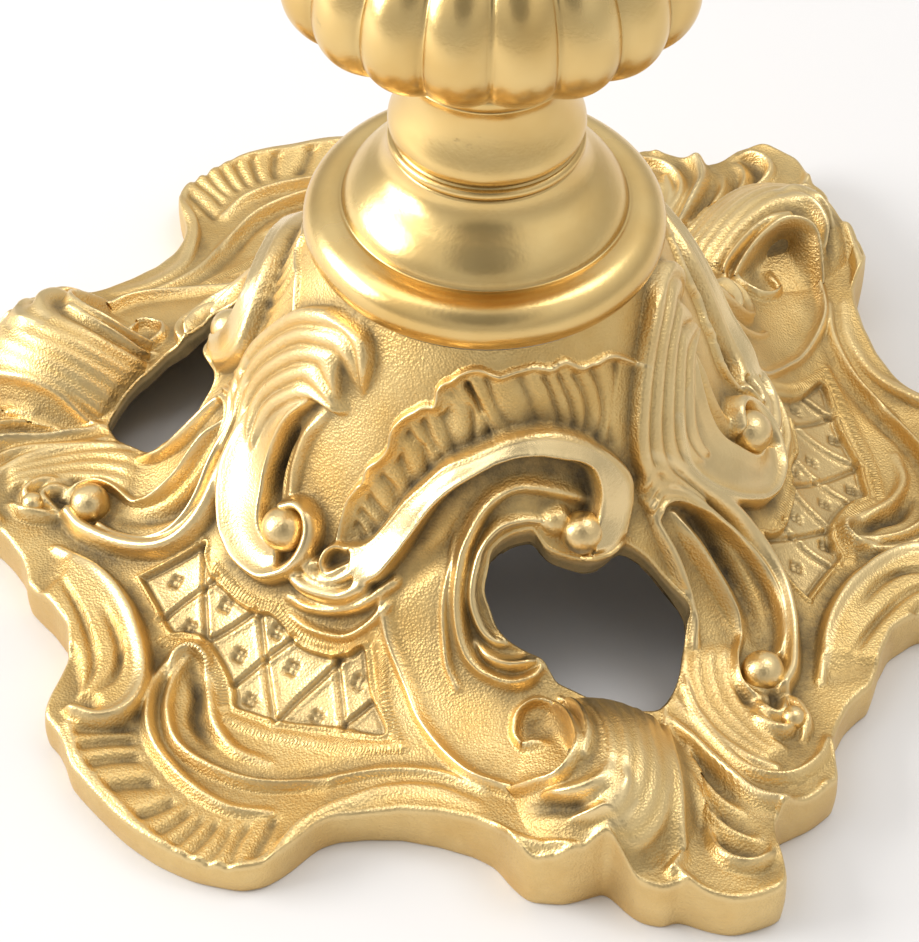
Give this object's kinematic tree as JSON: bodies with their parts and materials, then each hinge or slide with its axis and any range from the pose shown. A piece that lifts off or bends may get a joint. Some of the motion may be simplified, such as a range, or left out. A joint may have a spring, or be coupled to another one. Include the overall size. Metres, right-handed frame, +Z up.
{
  "type": "torchere candle stand",
  "caption": "Tall floor-standing gilt candle stand: pierced scrolled base on three feet, turned and gadrooned stem, scalloped drip pan and candle nozzle.",
  "frame": {"origin": "on the stem's axis, at the floor plane under the base", "axes": "+Z up along the stem; -Y towards the front of the pictured view; +X to its right"},
  "size_m": [0.3632, 0.3347, 1.2496],
  "materials": {
    "gilt_bronze": "burnished and matt gilding with brown patina in the recesses",
    "iron": "blackened"
  },
  "bodies": {
    "stand": {"base_casting": "gilt_bronze", "clamp_plate": "iron", "bottom_washer": "iron", "bottom_nut": "iron", "tie_rod": "iron", "dome_collar": "gilt_bronze", "bead_ring": "gilt_bronze", "neck_spool": "gilt_bronze", "lip_ring": "gilt_bronze", "gadroon_knop": "gilt_bronze", "knop_cap": "gilt_bronze", "lower_spool": "gilt_bronze", "lower_ring": "gilt_bronze", "baluster": "gilt_bronze", "middle_ring": "gilt_bronze", "fluted_shaft": "gilt_bronze", "upper_ring": "gilt_bronze", "small_knop": "gilt_bronze", "head_spool": "gilt_bronze", "candle_cup": "gilt_bronze", "top_washer": "iron", "top_nut": "iron"},
    "pan": {"drip_pan": "gilt_bronze"},
    "nozzle": {"candle_nozzle": "gilt_bronze"}
  },
  "joints": [
    {"name": "pan_lift", "type": "slide", "parent": "stand", "child": "pan", "axis": [0, 0, 1], "range_m": [0, 0.06]},
    {"name": "nozzle_lift", "type": "slide", "parent": "pan", "child": "nozzle", "axis": [0, 0, 1], "range_m": [0, 0.06]}
  ]
}
